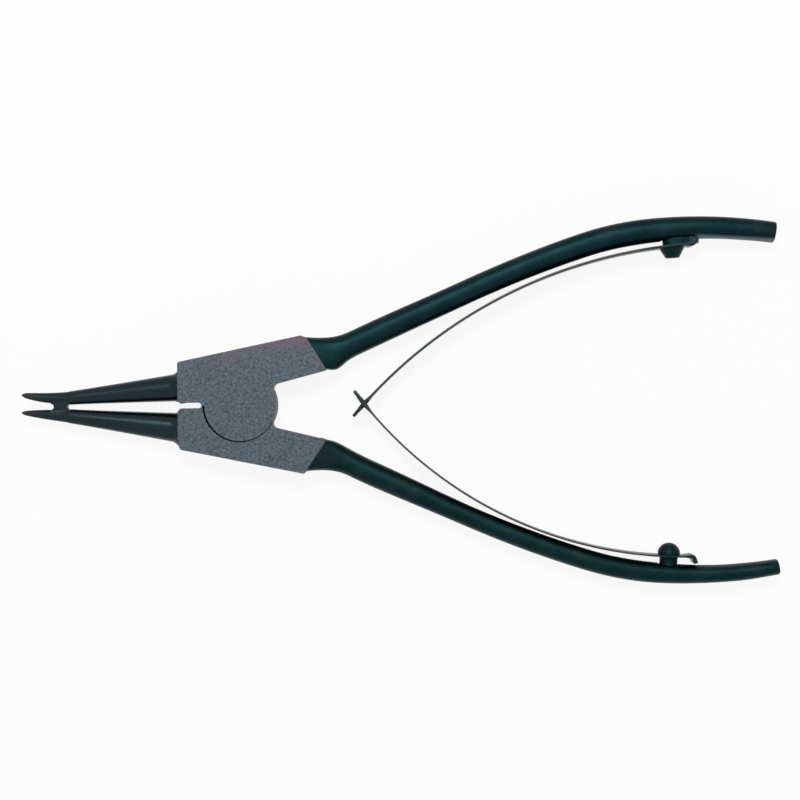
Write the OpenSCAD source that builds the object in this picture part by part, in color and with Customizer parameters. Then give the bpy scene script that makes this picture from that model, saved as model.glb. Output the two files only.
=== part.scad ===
// Circlip pliers for external rings, with straight jaws and a two-leaf return spring.
// The tool lies flat: X runs along it, the tips towards -X, and Z is the pivot axis.
// The origin is on the pivot axis, in the lower ground face of the head.
// Both levers come from one forging. The lower one is the upper one turned over about X.

/* [Head] */
// Thickness between the two ground faces
head_t = 9.5; // [7.5:0.1:12]
// From the pivot to the front face, where the jaws leave
head_front = 15.1; // [13:0.1:18]
// From the middle line to the outer corner at the front face
head_front_h = 10.3; // [9.5:0.1:12]
// From the pivot to the outer rear corner
head_rear = 14.4; // [13:0.1:16]
// From the middle line to the outer rear corner
head_rear_h = 16.3; // [15:0.1:18]
// From the pivot to the inner rear corner, where the flank meets the handle
flank_end_x = 20.3; // [19:0.1:22]
// From the middle line to the inner rear corner
flank_end_y = 8.6; // [7.5:0.1:9.5]
// Width of the slot between the two halves, in front of the joint
slot_w = 1.7; // [1:0.1:2.5]
// From the pivot to the round end of that slot
slot_end = 9.8; // [9.6:0.1:11]
// Bevel at the mouth of that slot
slot_bevel = 0.8; // [0.3:0.1:1.2]
// Bevel at the outer front corner
corner_bevel = 0.6; // [0.2:0.1:1.5]

/* [Half-lap joint] */
// Diameter of the disc that each lever lays over the other
disc_d = 17.6; // [15:0.1:19]
// How far the rear flank stands off the edge of the disc
heel_step = 1.5; // [0.8:0.1:2.2]
// Angle from the middle line at which the rear flank starts
heel_angle = 30; // [27:0.5:34]
// Diameter of the rivet that is the pivot
pivot_d = 5; // [4:0.1:6]
// Diameter of its countersunk heads, ground flush
pivot_head_d = 6.8; // [6.2:0.1:7.6]
// Depth of those heads
pivot_head_h = 0.9; // [0.5:0.1:1.5]

/* [Jaws] */
// Diameter of a jaw where it leaves the head
jaw_root_d = 6.4; // [5.5:0.1:7]
// Diameter of a jaw where its tip starts
jaw_end_d = 3; // [2.4:0.1:3.4]
// From the middle line to the jaw's axis at the head
jaw_root_y = 4.85; // [4.5:0.05:5.5]
// From the middle line to the jaw's axis where the tip starts
jaw_end_y = 2.1; // [1.9:0.05:2.5]
// Length of a jaw along the tool, without its tip
jaw_l = 25.6; // [22:0.1:32]
// How hollow the jaw's taper is, 1 being a straight cone
jaw_hollow = 1.25; // [1:0.05:1.6]
// Length of a tip along the tool
tip_l = 11.6; // [9:0.1:16]
// Diameter of the rounded point
tip_d = 0.7; // [0.5:0.05:1.2]
// Step from the jaw down to its tip
tip_shoulder = 0.1; // [0.05:0.05:0.3]
// From the middle line to the upper point, which is bent outwards
upper_tip_y = 2.8; // [2:0.05:3.5]
// From the middle line to the lower point
lower_tip_y = 1.8; // [1.4:0.05:3.5]
// From the bend to the middle of the land on which the shut jaws meet
land_at = 2.5; // [2:0.1:3]
// Length of that land
land_l = 2.8; // [1.5:0.1:3]
// Width of that land, across the jaws
land_w = 1.7; // [1:0.1:2]
// Length of the slope at each end of the land
land_slope = 0.5; // [0.3:0.1:1]
// Length of the flare where a jaw leaves the head
flare_l = 1.2; // [0.6:0.1:2]
// Height of that flare
flare_h = 0.5; // [0.2:0.1:0.8]

/* [Handles] */
// Angle between the middle line and the straight run
handle_angle = 24.5; // [22:0.5:27]
// Length of the straight run
straight_l = 37; // [30:0.5:44]
// Length of the slow bend that follows it
sweep_l = 32; // [26:0.5:38]
// Turn of the slow bend
sweep_turn = 7; // [5:0.5:9]
// Length of the quick bend near the spring fixing
elbow_l = 18.3; // [14:0.1:24]
// Turn of the quick bend
elbow_turn = 14; // [11:0.5:17]
// Length of the grip's end
grip_l = 27.6; // [22:0.1:34]
// Turn of the grip's end
grip_turn = 12.5; // [9:0.5:16]
// Width of the bar at the head
bar_w = 6; // [5:0.1:7]
// Width of the bar at its end
bar_end_w = 4.6; // [4:0.1:6]
// Thickness of the bar at the head
bar_t = 6.8; // [6:0.1:7.2]
// Thickness of the bar at its end
bar_end_t = 6; // [5:0.1:7]
// How square the bar's section is, 2 being an ellipse
bar_square = 2.4; // [2:0.1:4]
// Length over which the neck runs out into the bar
neck_l = 9; // [6:0.5:14]
// Width of the neck at the head's rear face
neck_w = 8.8; // [7:0.1:9]
// Thickness of the neck at the head's rear face
neck_t = 8.4; // [7:0.1:8.6]
// How far the bar's axis lies inside the middle of the rear face
neck_drop = 2.1; // [1.5:0.1:2.6]
// Rounding at the end of the bar
end_round = 0.6; // [0.3:0.1:1.2]

/* [Leaf springs] */
// Thickness of the spring strip
leaf_t = 0.6; // [0.4:0.05:0.7]
// Width of the spring strip
leaf_w = 7; // [5:0.1:8]
// Radius of the bent strip
leaf_r = 107; // [105:0.5:112]
// Angle between the strip and the handle where it is fixed
leaf_tilt = 1.2; // [0:0.1:2]
// How far each strip reaches past the other
leaf_reach = 2.6; // [2.2:0.1:4]
// Width of the tongue on the upper strip
tongue_w = 3; // [2:0.1:3.6]
// Width of the head that keeps the tongue in its slot
tongue_head_w = 5.6; // [5:0.1:6]
// Length of the slot along the lower strip
slot_l = 1.8; // [1.6:0.1:2.2]
// Length of the tail past the rivet
tail_l = 4.9; // [4:0.1:6]
// Length of the bent end of the tail
tail_lip_l = 1.35; // [0.8:0.05:1.4]
// Angle of the bent end
tail_lip_angle = 72; // [50:1:80]
// How far the bend of the tail swells past the strip on each side
bend_swell = 0.06; // [0.04:0.01:0.1]
// How much narrower the bent end is than the strip on each side
lip_relief = 0.2; // [0.1:0.05:0.4]

/* [Spring fixings] */
// From the end of the bar back to the rivet
fix_back_l = 24.9; // [20:0.1:29]
// Diameter of the spacer between handle and strip
spacer_d = 4.2; // [3.6:0.1:4.6]
// Height of that spacer
spacer_h = 1.7; // [1.5:0.1:2.4]
// Depth of the flat that is milled for it
flat_depth = 0.3; // [0.2:0.05:0.5]
// Diameter of that flat
flat_d = 5.4; // [4.8:0.1:6]
// Diameter of the rivet's shank
shank_d = 2.4; // [1.8:0.1:2.8]
// Depth of the shank in the handle
shank_depth = 3; // [2:0.1:3.4]
// Diameter of the upper, pan-shaped head at the strip
pan_d = 5.9; // [5:0.1:6.4]
// Diameter of its flat top
pan_top_d = 3.1; // [2.4:0.1:4]
// Height of the upper head
pan_h = 2.5; // [1.8:0.1:3]
// Diameter of the lower, domed head
dome_d = 5.3; // [4.6:0.1:6]
// Height of the lower head
dome_h = 2.9; // [2:0.1:3.2]
// Height of the straight rim under the dome
dome_rim_h = 0.8; // [0.4:0.1:1]

/* [Clearances] */
// Gap at the round seam of the half-lap joint
seam_gap = 0.35; // [0.15:0.05:0.4]
// Gap between the two discs
lap_gap = 0.1; // [0.05:0.05:0.3]
// Radial gap of the pivot in the lever that turns on it
running_gap = 0.03; // [0.02:0.01:0.08]
// Radial gap of a rivet in what it holds
rivet_gap = 0.02; // [0.01:0.01:0.05]
// Gap between the two halves of the head behind the slot
meeting_gap = 0.2; // [0.1:0.05:0.4]
// Gap between the two lands of the shut jaws
land_gap = 0.1; // [0.05:0.05:0.3]
// Gap round the tongue in its slot
tongue_gap = 0.3; // [0.2:0.05:0.5]

/* [Hidden] */
$fn = 64;

black_steel = "#23292c";
ground_steel = "#6a7278";
spring_steel = "#4a4540";

// How far a cut runs past the face that it opens
past = 1;
disc_r = disc_d / 2;
sides = 20;
neck_rings = 6;
bar_rings = 32;
jaw_steps = 8;
flare_steps = 4;
round_steps = 5;
strip_sides = 360;

// Corners of the head's rear face, its middle and the way along it
rear_outer = [head_rear, head_rear_h];
rear_inner = [flank_end_x, flank_end_y];
rear_mid = (rear_outer + rear_inner) / 2;
rear_run = rear_outer - rear_inner;
neck_skew = atan2(rear_run.y, rear_run.x) - handle_angle - 90;

// The bar's axis is a chain of runs, each a length and the turn that it makes
bar_runs = [
    [straight_l, 0],
    [sweep_l, sweep_turn],
    [elbow_l, elbow_turn],
    [grip_l, grip_turn]
];
bar_l = straight_l + sweep_l + elbow_l + grip_l;
bar_start = concat(rear_mid - neck_drop * left_of(handle_angle), handle_angle);

function along(angle) = [cos(angle), sin(angle)];
function left_of(angle) = [-sin(angle), cos(angle)];
function mix(a, b, share) = a + (b - a) * share;
function limit(v) = min(1, max(0, v));

// Where a run of the given length and turn ends: x, y and heading
function run_end(p, l, turn) =
    let (r = turn == 0 ? 0 : l / (turn * PI / 180))
    turn == 0
        ? [p.x + l * cos(p.z), p.y + l * sin(p.z), p.z]
        : [p.x + r * (sin(p.z) - sin(p.z - turn)), p.y + r * (cos(p.z - turn) - cos(p.z)), p.z - turn];

// The bar's axis at a distance from the head's rear face: x, y and heading
function bar_at(s, i = 0, p = bar_start) =
    i == len(bar_runs) - 1 || s <= bar_runs[i][0]
        ? run_end(p, s, bar_runs[i][1] * s / bar_runs[i][0])
        : bar_at(s - bar_runs[i][0], i + 1, run_end(p, bar_runs[i][0], bar_runs[i][1]));

// How much of the neck is left at a distance from the head's rear face
function neck_share(s) = pow(limit(1 - s / neck_l), 2);
function bar_width(s) = mix(bar_w, bar_end_w, limit(s / bar_l)) + (neck_w - bar_w) * neck_share(s);
function bar_depth(s) = mix(bar_t, bar_end_t, limit(s / bar_l)) + (neck_t - bar_t) * neck_share(s);

function superellipse(a, n) =
    [sign(cos(a)) * pow(abs(cos(a)), 2 / n), sign(sin(a)) * pow(abs(sin(a)), 2 / n)];

// One ring of points round the bar, smaller by trim on every side
function bar_ring(s, trim) =
    let (
        p = bar_at(s),
        share = neck_share(s),
        mid = [p.x, p.y] + neck_drop * share * left_of(p.z),
        across = left_of(p.z + neck_skew * share),
        half_w = bar_width(s) / 2 - trim,
        half_t = bar_depth(s) / 2 - trim,
        squareness = mix(bar_square, 2 * bar_square, share)
    )
    [
        for (k = [0:sides - 1])
            let (
                e = superellipse(360 * k / sides, squareness),
                q = mid + half_w * e.x * across
            )
            [q.x, q.y, half_t * e.y]
    ];

// Place and heading of the spring fixing, and the way from the handle to the strip
fix_at = bar_l - fix_back_l;
fix_p = bar_at(fix_at);
leaf_heading = fix_p.z + leaf_tilt;
fix_point = [fix_p.x, fix_p.y];
flat_at = bar_width(fix_at) / 2 - flat_depth;
leaf_at = flat_at + spacer_h;
leaf_mid = fix_point - (leaf_at + leaf_t / 2) * left_of(leaf_heading);
leaf_centre = leaf_mid - leaf_r * left_of(leaf_heading);

// Angles on the strip's circle: at the bend of its tail, at the middle line, at its free end
function leaf_turn(l) = l / leaf_r * 180 / PI;
leaf_from = leaf_heading + 90 - leaf_turn(tail_l);
leaf_cross = 180 - asin(-leaf_centre.y / leaf_r);
leaf_to = leaf_cross + leaf_turn(leaf_reach);
// How far the hollow side of the strip rises under the rim of the rivet's head
leaf_rise = leaf_r - sqrt(leaf_r * leaf_r - pow(max(pan_d, dome_d) / 2, 2));
shank_l = shank_depth + spacer_h + leaf_t + leaf_rise;

// Draws a piece of the upper half with the head's middle at half its thickness
module upper_half() {
    translate([0, 0, head_t / 2])
        children();
}

// Draws a piece of the upper half turned over, as the lower half
module lower_half() {
    translate([0, 0, head_t / 2])
        rotate([180, 0, 0])
            children();
}

// Turns a piece along Z onto the rivet's axis, with z = 0 on the bar's axis
module on_fixing() {
    translate([fix_point.x, fix_point.y, 0])
        rotate([90, 0, leaf_heading])
            children();
}

// Outline of one half of the head, seen from above
module head_outline() {
    heel = (disc_r + heel_step) * along(heel_angle);
    foot = (disc_r - heel_step) * along(heel_angle);
    front_run = rear_outer - [-head_front, head_front_h];
    front_slope = front_run.y / front_run.x;
    slot_round = [-slot_end - slot_w / 2, 0];
    difference() {
        polygon([
            [-head_front, meeting_gap / 2],
            [-head_front, head_front_h - corner_bevel],
            [corner_bevel - head_front, head_front_h + corner_bevel * front_slope],
            rear_outer,
            rear_inner,
            heel,
            foot,
            [0, meeting_gap / 2]
        ]);
        translate(slot_round)
            circle(d = slot_w);
        polygon([
            slot_round,
            [slot_round.x, slot_w / 2],
            [slot_bevel - head_front, slot_w / 2],
            [-head_front - past, slot_w / 2 + slot_bevel + past],
            [-head_front - past, 0]
        ]);
    }
}

// Turns a piece along Z so that it runs from one point to another in the plane
module from_to(a, b) {
    translate([a.x, a.y, 0])
        rotate([0, 0, atan2(b.y - a.y, b.x - a.x)])
            rotate([0, 90, 0])
                children();
}

// A quarter circle in a profile, from its side to the axis
function round_end(r, z) = [
    for (i = [1:round_steps])
        let (a = 90 * i / round_steps)
        [r * cos(a), z + r * sin(a)]
];

// Radius of the jaw at a share of its length, and the flare added to it near the head
function jaw_r(share) = mix(jaw_end_d, jaw_root_d, pow(1 - share, jaw_hollow)) / 2;
function flare(z) = flare_h * pow(limit(1 - z / flare_l), 2);

// The jaw's hollow taper, from inside the head to its rounded end
module jaw_taper(l) {
    stations = concat(
        [for (i = [0:flare_steps - 1]) flare_l * i / flare_steps],
        [for (i = [0:jaw_steps]) mix(flare_l, l, i / jaw_steps)]
    );
    taper = [for (z = stations) [jaw_r(z / l) + flare(z), z]];
    root_r = jaw_r(0) + flare(0);
    rotate_extrude()
        polygon(concat([[0, -past], [root_r, -past]], taper, round_end(jaw_end_d / 2, l)));
}

// The tip, from inside the jaw's end to its rounded point
module tip_taper(l) {
    base_r = jaw_end_d / 2 - tip_shoulder;
    taper = [[0, -past], [base_r, -past], [base_r, 0], [tip_d / 2, l]];
    rotate_extrude()
        polygon(concat(taper, round_end(tip_d / 2, l)));
}

// The pad on the inner side of a tip, along which the shut jaws meet
module land(top_y) {
    translate([0, 0, -land_w / 2])
        linear_extrude(land_w)
            polygon([
                [-land_l / 2 - land_slope, top_y],
                [-land_l / 2, land_gap / 2],
                [land_l / 2, land_gap / 2],
                [land_l / 2 + land_slope, top_y]
            ]);
}

// One jaw with its tip and the land on which it meets the other jaw
module jaw(tip_y) {
    root = [-head_front, jaw_root_y];
    bend = [-head_front - jaw_l, jaw_end_y];
    point = [bend.x - tip_l + tip_d / 2, tip_y];
    from_to(root, bend)
        jaw_taper(norm(bend - root));
    from_to(bend, point)
        tip_taper(norm(point - bend));
    translate([bend.x - land_at, 0, 0])
        land(jaw_end_y);
}

// The bar from inside the head to its rounded end
module handle_bar() {
    half_way = end_round * (1 - cos(45));
    rings = concat(
        [bar_ring(-neck_l / neck_rings, 0)],
        [for (i = [0:neck_rings - 1]) bar_ring(neck_l * (i + 0.5) / neck_rings, 0)],
        [for (i = [0:bar_rings]) bar_ring(mix(neck_l, bar_l - end_round, i / bar_rings), 0)],
        [bar_ring(bar_l - half_way, half_way)],
        [bar_ring(bar_l, end_round)]
    );
    last = len(rings) - 1;
    walls = [
        for (i = [0:last - 1], k = [0:sides - 1])
            let (
                a = i * sides + k,
                b = i * sides + (k + 1) % sides
            )
            each [[a, a + sides, b], [b, a + sides, b + sides]]
    ];
    start_cap = [for (k = [1:sides - 2]) [0, k, k + 1]];
    end_cap = [for (k = [1:sides - 2]) [0, k + 1, k] + last * sides * [1, 1, 1]];
    polyhedron(points = [for (ring = rings) each ring], faces = concat(walls, start_cap, end_cap));
}

// The pivot's bore and countersink in a lever's own disc
module pivot_hole(gap) {
    translate([0, 0, -past])
        cylinder(d = pivot_d + 2 * gap, h = head_t);
    translate([0, 0, head_t / 2 - pivot_head_h])
        cylinder(d1 = pivot_d + 2 * gap, d2 = pivot_head_d + 2 * gap, h = pivot_head_h);
}

// The flat under the spacer and the blind hole for the spring's rivet
module fixing_cuts() {
    translate([0, 0, flat_at])
        cylinder(d = flat_d, h = past + flat_depth);
    translate([0, 0, flat_at - shank_depth])
        cylinder(d = shank_d + 2 * rivet_gap, h = shank_depth + past);
}

// One half of the head with its disc in the upper half of the thickness, and its jaw
module head_half(tip_y, pivot_gap) {
    difference() {
        union() {
            difference() {
                translate([0, 0, -head_t / 2])
                    linear_extrude(head_t)
                        head_outline();
                translate([0, 0, -head_t / 2 - past])
                    cylinder(r = disc_r + seam_gap, h = head_t / 2 + past + lap_gap / 2);
            }
            translate([0, 0, lap_gap / 2])
                cylinder(r = disc_r, h = (head_t - lap_gap) / 2);
        }
        pivot_hole(pivot_gap);
    }
    jaw(tip_y);
}

// One forging: head half, jaw and handle
module lever(tip_y, pivot_gap) {
    head_half(tip_y, pivot_gap);
    difference() {
        handle_bar();
        on_fixing()
            fixing_cuts();
    }
}

// A stretch of the strip between two angles of its circle
module strip(from, to, w, t = leaf_t) {
    translate([leaf_centre.x, leaf_centre.y, -w / 2])
        rotate([0, 0, from])
            rotate_extrude(angle = to - from, $fn = strip_sides)
                translate([leaf_r - t / 2, 0])
                    square([t, w]);
}

// What is cut from both edges of the strip to leave a narrower width
module side_cuts(from, to, w) {
    for (side = [-1, 1])
        translate([0, 0, side * (w + leaf_w) / 2])
            strip(from, to, leaf_w, leaf_t + 2 * past);
}

// The end of the tail past the rivet, bent to the handle
module tail_lip() {
    bend = leaf_centre + leaf_r * along(leaf_from);
    lip_w = leaf_w - 2 * lip_relief;
    translate([bend.x, bend.y, -lip_w / 2])
        linear_extrude(lip_w) {
            circle(d = leaf_t + 2 * bend_swell);
            rotate(leaf_from - 90 + tail_lip_angle)
                translate([0, -leaf_t / 2])
                    square([tail_lip_l, leaf_t]);
        }
}

// The hole in the strip for its rivet
module leaf_hole() {
    on_fixing()
        translate([0, 0, leaf_at - past])
            cylinder(d = shank_d + 2 * rivet_gap, h = leaf_t + 2 * past);
}

module upper_lever() {
    color(black_steel)
        upper_half()
            lever(upper_tip_y, running_gap);
}

module lower_lever() {
    color(black_steel)
        lower_half()
            lever(lower_tip_y, rivet_gap);
}

// The pivot: a pin with two countersunk heads, flush with the ground faces
module joint_rivet() {
    color(ground_steel)
        rotate_extrude()
            polygon([
                [0, 0],
                [pivot_head_d / 2, 0],
                [pivot_d / 2, pivot_head_h],
                [pivot_d / 2, head_t - pivot_head_h],
                [pivot_head_d / 2, head_t],
                [0, head_t]
            ]);
}

// The upper strip ends in a tongue with a wider head, beyond the lower strip
module upper_spring_leaf() {
    neck_from = leaf_cross - leaf_turn(leaf_t + 2 * tongue_gap);
    neck_to = leaf_cross + leaf_turn(leaf_t + 2 * tongue_gap);
    color(spring_steel)
        upper_half()
            difference() {
                union() {
                    strip(leaf_from, leaf_to, leaf_w);
                    tail_lip();
                }
                side_cuts(neck_from, neck_to, tongue_w);
                side_cuts(neck_to, leaf_to + leaf_turn(past), tongue_head_w);
                leaf_hole();
            }
}

// The lower strip has the slot that the tongue passes through
module lower_spring_leaf() {
    half_slot = leaf_turn(slot_l / 2);
    slot_across = tongue_w + 2 * tongue_gap;
    color(spring_steel)
        lower_half()
            difference() {
                union() {
                    strip(leaf_from, leaf_to, leaf_w);
                    tail_lip();
                }
                strip(leaf_cross - half_slot, leaf_cross + half_slot, slot_across, leaf_t + 2 * past);
                leaf_hole();
            }
}

// The collar that holds the strip off the handle
module spacer() {
    on_fixing()
        translate([0, 0, flat_at])
            difference() {
                cylinder(d = spacer_d, h = spacer_h);
                translate([0, 0, -past])
                    cylinder(d = shank_d + 2 * rivet_gap, h = spacer_h + 2 * past);
            }
}

module upper_spring_spacer() {
    color(black_steel)
        upper_half()
            spacer();
}

module lower_spring_spacer() {
    color(black_steel)
        lower_half()
            spacer();
}

// Puts a rivet in its hole: the shank, and what is given as the head at its end
module spring_rivet() {
    on_fixing()
        translate([0, 0, flat_at - shank_depth]) {
            cylinder(d = shank_d, h = shank_l);
            translate([0, 0, shank_l])
                children();
        }
}

// The upper rivet has a pan-shaped head
module upper_spring_rivet() {
    color(black_steel)
        upper_half()
            spring_rivet()
                cylinder(d1 = pan_d, d2 = pan_top_d, h = pan_h);
}

// The lower rivet has a domed head on a short straight rim
module lower_spring_rivet() {
    crown_h = dome_h - dome_rim_h;
    crown_r = (pow(dome_d / 2, 2) + crown_h * crown_h) / (2 * crown_h);
    color(black_steel)
        lower_half()
            spring_rivet()
                intersection() {
                    cylinder(d = dome_d, h = dome_h);
                    translate([0, 0, dome_h - crown_r])
                        sphere(r = crown_r);
                }
}

upper_lever();
lower_lever();
joint_rivet();
upper_spring_leaf();
lower_spring_leaf();
upper_spring_spacer();
lower_spring_spacer();
upper_spring_rivet();
lower_spring_rivet();
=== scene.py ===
# %% [markdown]
# # Circlip pliers on a white table
# External circlip pliers are two black forged levers that are riveted together at a ground head. Squeezing the
# bowed handles spreads the thin tips, and two crossed spring strips push the handles apart again. The solids from
# the CAD frame give the places and sizes; here their visible shapes are modelled anew with softer edges and real
# finishes. We load the frame first and note its box, because the finished object has to fill the same space.

# %% Load the frame
import math

import bmesh
import bpy
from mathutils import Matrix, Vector


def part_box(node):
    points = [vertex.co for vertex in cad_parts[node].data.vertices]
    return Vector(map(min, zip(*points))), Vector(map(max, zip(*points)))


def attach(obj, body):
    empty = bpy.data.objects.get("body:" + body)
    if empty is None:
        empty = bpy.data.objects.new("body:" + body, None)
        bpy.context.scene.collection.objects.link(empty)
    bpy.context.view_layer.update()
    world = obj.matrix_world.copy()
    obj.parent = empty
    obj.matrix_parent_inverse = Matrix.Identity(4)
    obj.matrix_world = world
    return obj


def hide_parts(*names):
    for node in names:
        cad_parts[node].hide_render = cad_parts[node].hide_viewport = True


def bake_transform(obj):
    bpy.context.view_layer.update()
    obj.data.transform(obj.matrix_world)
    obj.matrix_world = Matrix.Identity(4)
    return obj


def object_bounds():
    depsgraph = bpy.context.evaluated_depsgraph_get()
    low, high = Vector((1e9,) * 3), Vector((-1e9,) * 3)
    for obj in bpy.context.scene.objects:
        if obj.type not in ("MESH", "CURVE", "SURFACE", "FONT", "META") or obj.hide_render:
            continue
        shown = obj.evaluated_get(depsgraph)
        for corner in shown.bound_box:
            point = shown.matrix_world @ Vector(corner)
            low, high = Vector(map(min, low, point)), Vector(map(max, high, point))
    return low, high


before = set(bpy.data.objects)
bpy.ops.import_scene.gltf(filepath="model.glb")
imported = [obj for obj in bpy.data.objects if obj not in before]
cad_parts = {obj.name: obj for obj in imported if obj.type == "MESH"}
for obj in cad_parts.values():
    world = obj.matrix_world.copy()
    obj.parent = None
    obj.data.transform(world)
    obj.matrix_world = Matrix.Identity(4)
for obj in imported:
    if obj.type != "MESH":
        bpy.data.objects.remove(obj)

cad_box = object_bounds()
print("CAD box in mm:", [[round(c * 1000, 2) for c in corner] for corner in cad_box])

# %% [markdown]
# Nearly every piece of this tool is a section that changes along a line: a jaw, a bowed bar, a bent strip, a
# rivet. By hand that is one ring, extruded again and again, with each new ring moved and scaled to its place.
# A curve with a bevel profile would be quicker, but its section can't change from oval to square along the way.
# So this helper starts from a filled circle, extrudes it from station to station and sets each ring's points.

# %% A ring that is extruded from station to station
MM = 0.001


def point(x, y, z):
    """A place in millimetres as a vector in metres."""
    return Vector((x, y, z)) * MM


def place_ring(obj, old, new):
    """Moves the points of the selected face from the old ring to the new one."""
    cap = next(f for f in bmesh.from_edit_mesh(obj.data).faces if f.select)
    for vert in cap.verts:
        nearest = min(range(len(old)), key=lambda i: (old[i] - vert.co).length_squared)
        vert.co = new[nearest]
    bmesh.update_edit_mesh(obj.data)


def extrude_rings(name, rings):
    """A closed mesh through rings of equally many points."""
    bpy.ops.object.select_all(action="DESELECT")
    bpy.ops.mesh.primitive_circle_add(vertices=len(rings[0]), radius=1, fill_type="NGON")
    obj = bpy.context.object
    obj.name = obj.data.name = name
    circle = [v.co.copy() for v in obj.data.vertices]
    bpy.ops.object.mode_set(mode="EDIT")
    bpy.ops.mesh.select_all(action="SELECT")
    place_ring(obj, circle, rings[0])
    for old, new in zip(rings, rings[1:]):
        bpy.ops.mesh.extrude_region_move()
        place_ring(obj, old, new)
    bpy.ops.mesh.select_all(action="SELECT")
    bpy.ops.mesh.normals_make_consistent(inside=False)
    bpy.ops.object.mode_set(mode="OBJECT")
    return obj


print("a millimetre in Blender's unit, the metre:", MM)

# %% [markdown]
# The head is machined after forging: turned recesses, a drilled pivot, a sawn slot. Boolean modifiers do the same
# jobs on a mesh, and each is applied at once so that the cutter can go. A freshly cut edge is never perfectly
# sharp, so a narrow bevel follows, limited by angle so that only real edges take it.

# %% Cutting, joining and breaking edges
BREAK_ANGLE = 40


def select_only(obj):
    """Makes obj the one selected and active object."""
    bpy.ops.object.select_all(action="DESELECT")
    obj.select_set(True)
    bpy.context.view_layer.objects.active = obj


def boolean(obj, other, operation):
    """Joins, or cuts from obj, another mesh, which is then removed."""
    modifier = obj.modifiers.new(operation, "BOOLEAN")
    modifier.operation = operation
    modifier.solver = "EXACT"
    modifier.object = other
    select_only(obj)
    bpy.ops.object.modifier_apply(modifier=modifier.name)
    bpy.data.objects.remove(other)


def break_edges(obj, width, angle=BREAK_ANGLE):
    """A bevel of the given width in millimetres on the edges that turn by more than angle."""
    modifier = obj.modifiers.new("broken edges", "BEVEL")
    modifier.width = width * MM
    modifier.segments = 2
    modifier.limit_method = "ANGLE"
    modifier.angle_limit = math.radians(angle)
    select_only(obj)
    bpy.ops.object.modifier_apply(modifier=modifier.name)


print("edges are broken where they turn by more than degrees:", BREAK_ANGLE)

# %% [markdown]
# Several outlines of this tool are chains of straight lines with rounded corners, as a file or a bending tool leaves
# them. A bevel on the finished mesh could round them, but then one width would hold for all. So this helper takes
# each corner with its own radius and returns the points of the outline.

# %% Rounded corners
def rounded(corners, steps=6):
    """Points of an outline from corners given as x, y and radius."""
    outline = []
    for i, (x, y, radius) in enumerate(corners):
        corner = Vector((x, y))
        before = (Vector(corners[i - 1][:2]) - corner).normalized()
        after = (Vector(corners[(i + 1) % len(corners)][:2]) - corner).normalized()
        if not radius:
            outline.append(corner)
            continue
        half = before.angle(after) / 2
        centre = corner + (before + after).normalized() * radius / math.sin(half)
        first = corner + before * radius / math.tan(half) - centre
        last = corner + after * radius / math.tan(half) - centre
        for k in range(steps + 1):
            outline.append(centre + first.lerp(last, k / steps).normalized() * radius)
    return outline


print("points of a rounded square:", len(rounded([(0, 0, 0.2), (1, 0, 0.2), (1, 1, 0.2), (0, 1, 0.2)])))

# %% [markdown]
# One half of the head is a plate with a slanted rear, a slot at the front and small fillets where the flank comes
# down to the disc. It could be cut from a cube, but its outline is a plain chain of corners, so we write the chain
# with a radius for each corner and extrude it once. Both levers are modelled the same way up, and the lower one is
# turned over at the end. Hand finishing made them a little different, at the front corner, the jaws and the bars,
# so those sizes are given for each half.

# %% Outline of one half of the head
HEAD_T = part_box("joint_rivet")[1].z / MM
MID_Z = HEAD_T / 2
HEAD_FRONT = 14.8
REAR_OUTER = (14.4, 16.3)
FRONT_OUTER_Y = 10.3
FRONT_CORNERS = {"upper": (0.3, 0.3), "lower": (0.6, 1.2)}
REARS = {"upper": [REAR_OUTER, (15.8, 15.75), (20.4, 8.15)], "lower": [(14.9, 16.4), (20.2, 8.5)]}
HEELS = {"upper": (8.92, 5.15), "lower": (8.92, 5.75)}
EDGE_SLOPE = (REAR_OUTER[1] - FRONT_OUTER_Y) / (REAR_OUTER[0] + HEAD_FRONT)
SLOT_R = 0.66
SLOT_END = 9.2
SLOT_BEVEL = 0.66
SLOT_ROUND, FRONT_ROUND, REAR_ROUND = 0.25, 0.2, 0.3
DISC_R = 8.5
HEEL_R = 1.2
MEETING_GAP = 0.01


def heel_fillet(half, steps=8):
    """Points of the fillet between the flank and the disc, as corners without a radius."""
    inner = Vector(REARS[half][-1])
    way = (Vector(HEELS[half]) - inner).normalized()
    outward = Vector((-way.y, way.x))
    base = inner + outward * HEEL_R
    run = base.dot(way)
    centre = base - way * (run + math.sqrt(run ** 2 - base.length_squared + (DISC_R + HEEL_R) ** 2))
    first, last = -outward * HEEL_R, -centre.normalized() * HEEL_R
    spokes = [first.lerp(last, k / steps).normalized() for k in range(steps + 1)]
    return [(*(centre + spoke * HEEL_R), 0) for spoke in spokes]


def head_outline(half):
    """Outline of one half of the head, from the slot's mouth round to its end."""
    bevel_x, bevel_y = FRONT_CORNERS[half]
    slot_x = -SLOT_END - SLOT_R
    slot_arc = [(math.cos(a), math.sin(a)) for a in (math.radians(d) for d in range(0, 91, 15))]
    return rounded([
        (-HEAD_FRONT, SLOT_R + SLOT_BEVEL, SLOT_ROUND),
        (-HEAD_FRONT, FRONT_OUTER_Y - bevel_y, FRONT_ROUND),
        (bevel_x - HEAD_FRONT, FRONT_OUTER_Y + bevel_x * EDGE_SLOPE, FRONT_ROUND),
        *[(*corner, REAR_ROUND) for corner in REARS[half]],
        *heel_fillet(half),
        (DISC_R / 2, DISC_R / 5, 0),  # inside the disc, where it doesn't show
        (0, MEETING_GAP / 2, 0),
        *[(slot_x + SLOT_R * c, max(SLOT_R * s, MEETING_GAP / 2), 0) for c, s in slot_arc],
        (SLOT_BEVEL - HEAD_FRONT, SLOT_R, SLOT_ROUND),
    ])


print("points in the head's outline:", len(head_outline("upper")))

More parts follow.
